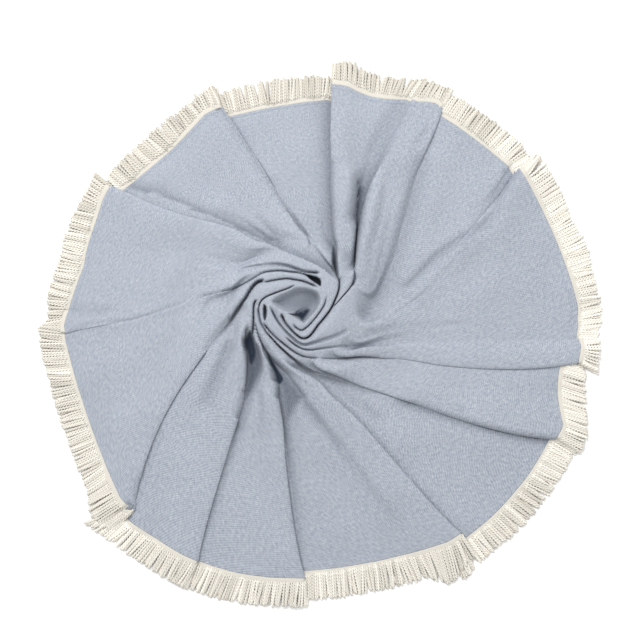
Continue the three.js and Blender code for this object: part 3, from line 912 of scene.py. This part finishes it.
def make_cloth(sheet, under, painted_shade, shares, material):
    rings, columns = sheet.shape[:2]
    half = CLOTH_THICKNESS / 2
    top = sheet + sheet_normals(sheet) * (half + hem_thickness(shares)[:, None, None])
    top[..., 2] = np.maximum(top[..., 2], CLOTH_THICKNESS)
    chosen = np.unique(np.append(np.arange(0, rings, UNDER_RINGS), rings - 1))
    low = (under - sheet_normals(under) * half)[chosen, ::UNDER_COLUMNS]
    low[..., 2] = np.maximum(low[..., 2], 0)
    low_rings, low_columns = low.shape[:2]
    caps = [top[0].mean(axis=0), low[0].mean(axis=0)]
    points = np.concatenate((top.reshape(-1, 3), low.reshape(-1, 3), caps))
    size = rings * columns
    pole = size + low_rings * low_columns
    upper = grid_quads(rings, columns)
    lower = grid_quads(low_rings, low_columns, size)[:, ::-1]
    j, k = np.arange(columns), np.arange(low_columns)
    low_beside = (k + 1) % low_columns
    middle = (np.full(columns, pole), j, (j + 1) % columns)
    beneath = (np.full(low_columns, pole + 1), size + low_beside, size + k)
    rim = (rings - 1) * columns
    first, second, third = rim + 2 * k, rim + 2 * k + 1, rim + (2 * k + 2) % columns
    rim_low = size + (low_rings - 1) * low_columns
    here, there = rim_low + k, rim_low + low_beside
    wall = ((first, here, second), (second, here, there), (second, there, third))
    triangles = [np.stack(corners, axis=1) for corners in (middle, beneath, *wall)]
    piece = mesh_object("towel_cloth", points, [upper, lower, *triangles], material)
    flat = flat_coordinates(sheet, shares)
    low_flat = flat[chosen, ::UNDER_COLUMNS].reshape(-1, 3)
    add_values(piece, "flat", np.concatenate((flat.reshape(-1, 3), low_flat, np.zeros((2, 3)))))
    low_painted_shade = painted_shade[chosen, ::UNDER_COLUMNS]
    add_values(piece, "painted_shade", np.concatenate((painted_shade.ravel(), low_painted_shade.ravel(), np.full(2, painted_shade[0].mean()))))
    return piece, top


# Fringe
def outward(points):
    """Level directions away from the outline's centre."""
    away = points - OUTLINE_CENTRE
    away[:, 2] = 0
    return unit(away)


def along_edge(edge, pitch):
    """Points at an even pitch along the closed edge, and their distance along it."""
    closed = np.concatenate((edge, edge[:1]))
    lengths = np.concatenate(([0], np.cumsum(np.linalg.norm(np.diff(closed, axis=0), axis=1))))
    count = int(round(lengths[-1] / pitch))
    stops = np.arange(count) * lengths[-1] / count
    return np.stack([np.interp(stops, lengths, closed[:, i]) for i in range(3)], axis=1), stops


def rounded(values, power):
    return np.sign(values) * np.abs(values) ** power


def make_heading(edge, material):
    """The woven tape that the cords come out of: a flat rounded strip along the edge."""
    stops, lengths = along_edge(edge, HEADING_PITCH)
    away = outward(stops)
    turns = np.radians(np.arange(HEADING_SIDES) * 360 / HEADING_SIDES)
    across = rounded(np.cos(turns), HEADING_ROUNDING[0]) * HEADING_WIDTH / 2
    up = rounded(np.sin(turns), HEADING_ROUNDING[1]) * HEADING_THICKNESS / 2
    base = stops + away * (HEADING_WIDTH / 2 - SEAM_OVERLAP)
    base[:, 2] = np.maximum(stops[:, 2], HEADING_THICKNESS / 2)
    points = base[:, None] + away[:, None] * across[None, :, None]
    points[..., 2] += up
    flat = np.zeros(points.shape)
    flat[..., 0] = lengths[:, None]
    flat[..., 1] = across
    quads = grid_quads(len(stops), HEADING_SIDES, closed_rows=True)
    piece = mesh_object("fringe_heading", points.reshape(-1, 3), [quads], material)
    add_values(piece, "flat", flat * MM)
    return piece


def drifting(count, wander, draw):
    """A slow random wander round the closed edge."""
    reach, knots = wander
    values = draw.normal(0, 1, knots)
    place = np.arange(count) / count * knots
    low = np.floor(place).astype(int)
    t = smooth(place - low, 0, 1)
    return reach * mix(values[low % knots], values[(low + 1) % knots], t)


def grouped(count, spread, draw):
    """One random value for each small group of neighbouring cords."""
    sizes = draw.integers(*GROUP_SIZES, count)
    return np.repeat(draw.normal(0, spread, count), sizes)[:count]


def disturbed(roots, name):
    """The lean, extra length or tone of the cords at the listed places; the tone is painted light and
    shade.
    """
    angle = np.degrees(np.arctan2(roots[:, 1], roots[:, 0]))
    total = np.zeros(len(roots))
    for spot in named(FRINGE_COLUMNS, FRINGE_ROWS):
        apart = (angle - spot["angle"] + 180) % 360 - 180
        total += spot[name] * np.exp(-(apart / spot["spread"]) ** 2)
    return total


def cord_lines(roots, lean, curl, length, rest, steps):
    """The middle lines of cords, from the heading outwards."""
    away = outward(roots)
    side = np.stack((-away[:, 1], away[:, 0], np.zeros(len(roots))), axis=1)
    share = np.linspace(0, 1, steps + 1)
    reach = share * (length - CORD_START)[:, None]
    sideways = np.tan(np.radians(lean))[:, None] * reach + curl[:, None] * share ** 2
    lines = roots[:, None] + away[:, None] * (CORD_START + reach)[..., None]
    lines += side[:, None] * sideways[..., None]
    root_height = np.maximum(roots[:, 2], rest)
    tip_height = np.maximum(root_height * TIP_HEIGHT_SHARE, rest)
    sunk = CORD_SINK * (1 - smooth(reach, 0, CORD_RISE_LENGTH))
    lines[..., 2] = mix(root_height[:, None], tip_height[:, None], share ** TIP_FALL) - sunk
    return lines, reach


def beside(run):
    """Directions across and above lines, from the way they run."""
    across = unit(np.cross(run, UP))
    return across, np.cross(across, run)


def circles(across, above, sides):
    """Rings of points round lines, of radius 1."""
    ring = 2 * math.pi * np.arange(sides)[:, None] / sides
    return np.cos(ring) * across[..., None, :] + np.sin(ring) * above[..., None, :]


def tubes(lines, radius, sides, offset=0.0, turn=0.0):
    """Points of tubes round lines, or twisted round them at an offset, and slimmer at the tip."""
    across, above = beside(unit(np.gradient(lines, axis=1)))
    turn = np.asarray(turn) + np.zeros(lines.shape[:2])
    middle = lines + offset * (np.cos(turn)[..., None] * across + np.sin(turn)[..., None] * above)
    slim = 1 - TIP_SLIMMER * smooth(np.linspace(0, 1, lines.shape[1]), TIP_START, 1.0)
    points = middle[:, :, None] + radius * slim[:, None, None] * circles(across, above, sides)
    points[..., 2] = np.maximum(points[..., 2], LOWEST_POINT)
    return points


def tube_object(name, points, material):
    """One mesh of many closed tubes, given as an array of tube, ring and point of the ring."""
    count, rings, sides = points.shape[:3]
    quads = grid_quads(rings, sides)[:, ::-1]
    ends = np.stack((np.arange(sides)[::-1], (rings - 1) * sides + np.arange(sides)))
    offsets = (np.arange(count) * rings * sides)[:, None, None]
    faces = [(face + offsets).reshape(-1, face.shape[1]) for face in (quads, ends)]
    return mesh_object(name, points.reshape(-1, 3), faces, material)


def cord_piece(name, points, tones, material):
    piece = tube_object(name, points, material)
    add_values(piece, "tone", np.repeat(tones, points[0].size // 3))
    return piece


def make_fringe(edge, upper_material, lower_material):
    """Twisted two-ply cords all round, and a lower layer of plain ones that shows between them."""
    draw = np.random.default_rng(SEED)
    roots, _ = along_edge(edge, CORD_PITCH)
    count = len(roots)
    lean = disturbed(roots, "lean") + drifting(count, LEAN_WANDER, draw)
    length = CORD_LENGTH + disturbed(roots, "extra") + drifting(count, LENGTH_WANDER, draw)
    curl = drifting(count, CURL_WANDER, draw)
    # Tone: a slow random wander, plus painted light and shade round the edge from the fringe table
    tone = MEAN_TONE + disturbed(roots, "tone") + drifting(count, TONE_WANDER, draw)

    upper_lean = lean + grouped(count, GROUP_LEAN_SPREAD, draw) + draw.normal(0, LEAN_SPREAD, count)
    upper_length = length + draw.normal(0, LENGTH_SPREAD, count)
    rest = PLY_OFFSET + PLY_RADIUS + np.abs(draw.normal(0, REST_SPREAD, count))
    upper_curl = curl + draw.normal(0, CURL_SPREAD, count)
    lines, reach = cord_lines(roots, upper_lean, upper_curl, upper_length, rest, CORD_STEPS)
    turn = draw.uniform(0, 2 * math.pi, count)[:, None] + 2 * math.pi * reach / CORD_TURN
    plies = [tubes(lines, PLY_RADIUS, PLY_SIDES, PLY_OFFSET, turn + start) for start in (0, math.pi)]
    points = np.stack(plies, axis=1).reshape(2 * count, CORD_STEPS + 1, PLY_SIDES, 3)
    tones = np.repeat(np.clip(tone + TONE_SPREAD * draw.normal(0, 1, count), 0, 1), 2)
    parts = np.array_split(np.arange(2 * count), FRINGE_PIECES)
    pieces = [
        cord_piece(f"fringe_cords_{number}", points[part], tones[part], upper_material)
        for number, part in enumerate(parts, 1)
    ]

    between = (roots + np.roll(roots, -1, axis=0)) / 2
    between[:, 2] = np.maximum(between[:, 2] - 2 * LOWER_RADIUS, 0)
    lower_lean = lean + draw.normal(0, LOWER_LEAN_SPREAD, count)
    lower_length = length - LOWER_SHORTER + draw.normal(0, LENGTH_SPREAD, count)
    lower_rest = np.full(count, LOWER_RADIUS)
    lines, _ = cord_lines(between, lower_lean, curl, lower_length, lower_rest, LOWER_STEPS)
    points = tubes(lines, LOWER_RADIUS, PLY_SIDES)
    tones = np.clip(tone + LOWER_TONE_SPREAD * draw.normal(0, 1, count), 0, 1)
    pieces.append(cord_piece("fringe_lower", points, tones, lower_material))
    return pieces


def make_stitches(line, material):
    """The hem's sewing: a row of short thread stitches that lie on the cloth."""
    stops, _ = along_edge(line, STITCH_PITCH)
    run = unit(np.roll(stops, -1, axis=0) - np.roll(stops, 1, axis=0))
    places = np.linspace(-0.5, 0.5, STITCH_STEPS + 1) * STITCH_LENGTH
    slim = np.sqrt(np.maximum(STITCH_END_SHARE, 1 - (2 * places / STITCH_LENGTH) ** 2)) * STITCH_RADIUS
    circle = circles(*beside(run), STITCH_SIDES)
    centre = stops[:, None] + run[:, None] * places[None, :, None]
    points = centre[:, :, None] + circle[:, None] * slim[None, :, None, None]
    return tube_object("hem_stitches", points, material)


# The swirl's middle in the part's own frame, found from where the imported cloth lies
shares = fine_shares()
sheet, under, painted_shade = fine_sheet(shares)
low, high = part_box("cloth")
sheet_low, sheet_high = sheet.min(axis=(0, 1)), sheet.max(axis=(0, 1))
POLE = (np.array(low) + np.array(high)) / 2 / MM - (sheet_low + sheet_high) / 2
POLE[2] = 0

cloth, cloth_top = make_cloth(sheet, under, painted_shade, shares, cloth_material())
edge = sheet[-1]
heading = make_heading(edge, heading_material())
cords = make_fringe(
    edge,
    cord_material("fringe_cord", UPPER_CORD_COLOURS),
    cord_material("fringe_lower_cord", LOWER_CORD_COLOURS),
)
stitch_ring = np.argmin(np.abs((1 - shares) * MEAN_EDGE_RADIUS - STITCH_FROM_EDGE))
stitches = make_stitches(cloth_top[stitch_ring], thread_material())

for piece in (cloth, stitches):
    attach(piece, "root")
    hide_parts("cloth")
for piece in (heading, *cords):
    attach(piece, "root")
    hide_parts("fringe")

# Stage: a pale floor, soft light from all round, more from the top left and a little from the right;
# each light's place, size and power
FLOOR_REACH = 6.0
FLOOR_LEVEL = -0.0005
WORLD_STRENGTH = 0.84
LIGHTS = (
    ("key", (-1.1, 2.1, 3.0), 2.2, 113.0),
    ("fill", (2.9, -0.2, 2.2), 1.8, 16.0),
)
LENS = 85.0
SENSOR = 36.0
VIEW_GAMMA = 0.8

floor_mesh = bpy.data.meshes.new("floor")
directions = ((-1, -1), (1, -1), (1, 1), (-1, 1))
corners = [(x * FLOOR_REACH, y * FLOOR_REACH, FLOOR_LEVEL) for x, y in directions]
floor_mesh.from_pydata(corners, [], [(0, 1, 2, 3)])
floor_mesh.materials.append(floor_material())
floor = linked("floor", floor_mesh)

world = bpy.data.worlds.new("studio")
world.use_nodes = True
background = world.node_tree.nodes["Background"].inputs
background["Color"].default_value = (1, 1, 1, 1)
background["Strength"].default_value = WORLD_STRENGTH
scene.world = world

for name, place, size, power in LIGHTS:
    data = bpy.data.lights.new(name, "AREA")
    data.shape = "SQUARE"
    data.size = size
    data.energy = power
    light = linked(name, data)
    light.location = place
    light.rotation_euler = (-Vector(place)).to_track_quat("-Z", "Y").to_euler()

# Camera: straight above, as the photograph was taken
camera_data = bpy.data.cameras.new("camera")
camera_data.lens = LENS
camera_data.sensor_width = SENSOR
camera = linked("camera", camera_data)
middle_x, middle_y = (photo_points((PHOTO_SIDE / 2, PHOTO_SIDE / 2))[0] + POLE[:2]) * MM
camera.location = (middle_x, middle_y, PHOTO_SIDE * PHOTO_SCALE * MM * LENS / SENSOR)
scene.camera = camera
scene.view_settings.view_transform = "Standard"
scene.view_settings.gamma = VIEW_GAMMA
